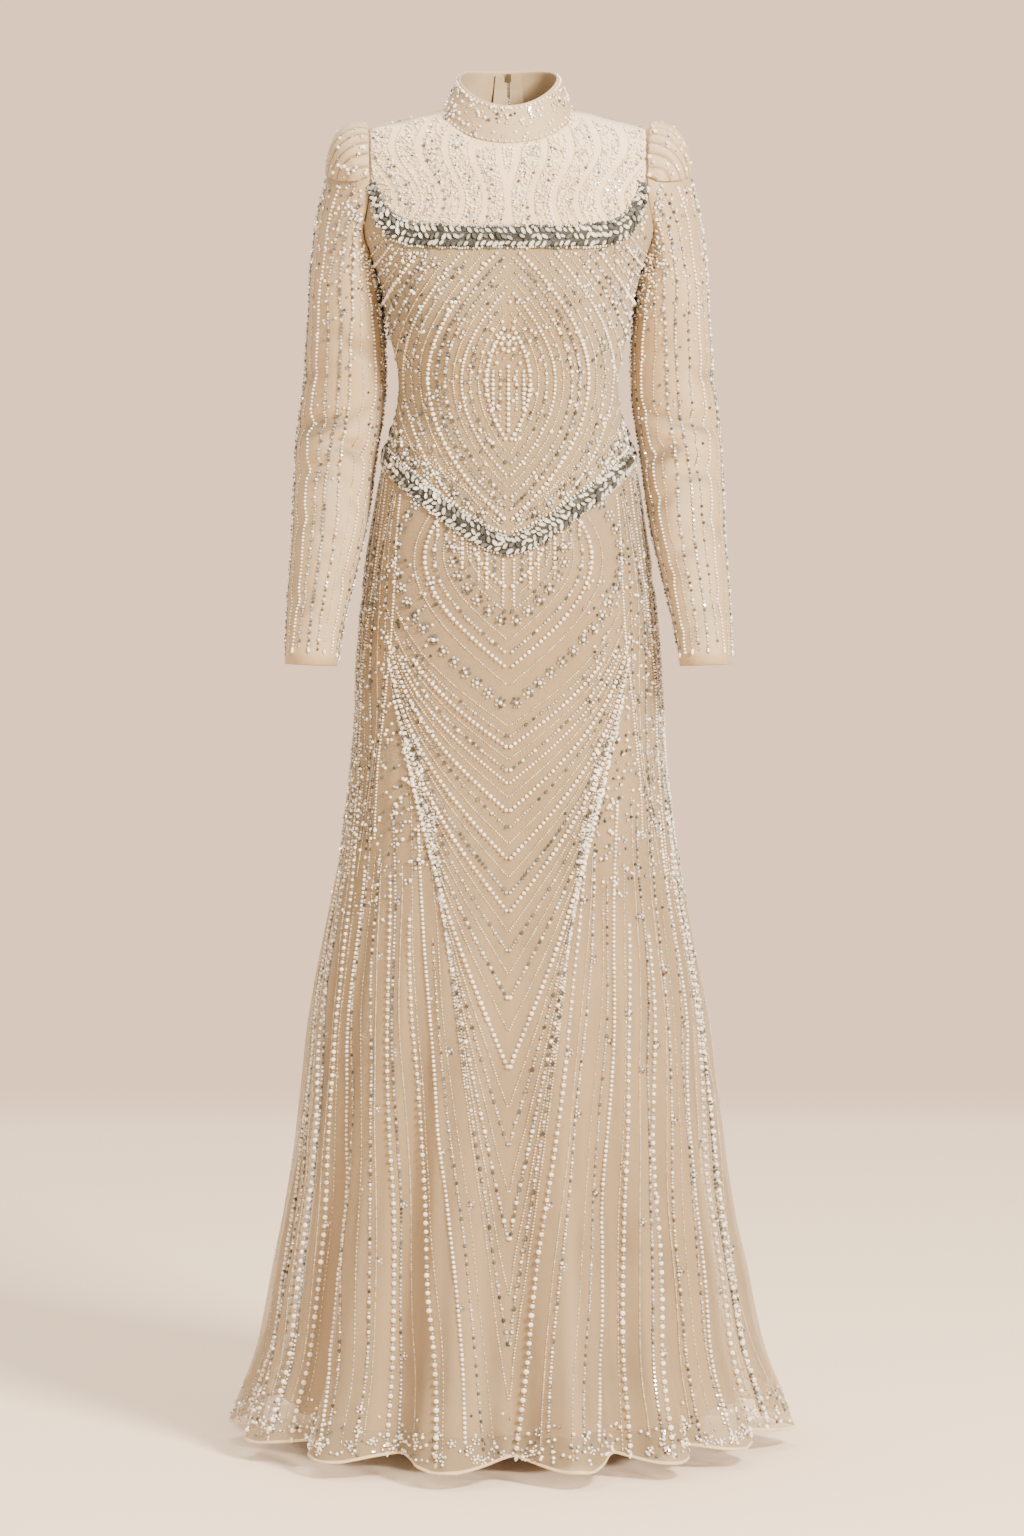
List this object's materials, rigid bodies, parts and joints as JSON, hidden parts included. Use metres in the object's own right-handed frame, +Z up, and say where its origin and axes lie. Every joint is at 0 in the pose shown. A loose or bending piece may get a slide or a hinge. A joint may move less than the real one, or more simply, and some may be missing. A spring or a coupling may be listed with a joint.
{
  "type": "evening gown",
  "caption": "Long-sleeved beaded evening gown, worn and hollow, with stand collar, yoke, pointed basque waist, gathered shoulder caps and fluted two-layer skirt.",
  "frame": {"origin": "middle of the neck, level with the inner ends of the shoulder seams, where the wearer's shoulders hold the gown", "axes": "+Z up, the front faces -Y, the wearer's left is +X"},
  "size_m": [0.6247, 0.6573, 1.516],
  "materials": {
    "beaded_net": "champagne net worked with beads",
    "yoke_net": "pale cream net, closely beaded",
    "lining_satin": "champagne satin",
    "sleeve_satin": "champagne satin under fine net",
    "tape": "woven zip tape",
    "stones": "faceted stones set close together",
    "zip_metal": "satin gold"
  },
  "bodies": {
    "gown": {"yoke_front": "yoke_net", "bodice_front": "beaded_net", "bodice_side_left": "beaded_net", "bodice_side_right": "beaded_net", "back_left": "beaded_net", "back_right": "beaded_net", "skirt_front": "beaded_net", "skirt_back_left": "beaded_net", "skirt_back_right": "beaded_net", "underskirt_front": "lining_satin", "underskirt_back_left": "lining_satin", "underskirt_back_right": "lining_satin", "collar": "sleeve_satin", "sleeve_left": "sleeve_satin", "sleeve_right": "sleeve_satin", "cap_left": "sleeve_satin", "cap_right": "sleeve_satin", "neckline_band": "stones", "waist_band_front": "stones", "waist_band_back_left": "stones", "waist_band_back_right": "stones", "zip_tape_left": "tape", "zip_tape_right": "tape", "zip_slider": "zip_metal"},
    "pull": {"zip_pull": "zip_metal"}
  },
  "joints": [
    {"name": "pull_swing", "type": "hinge", "parent": "gown", "child": "pull", "pos_m": [0, 0.04881, 0.03803], "axis": [1, 0, 0], "range_deg": [0, 150]}
  ]
}
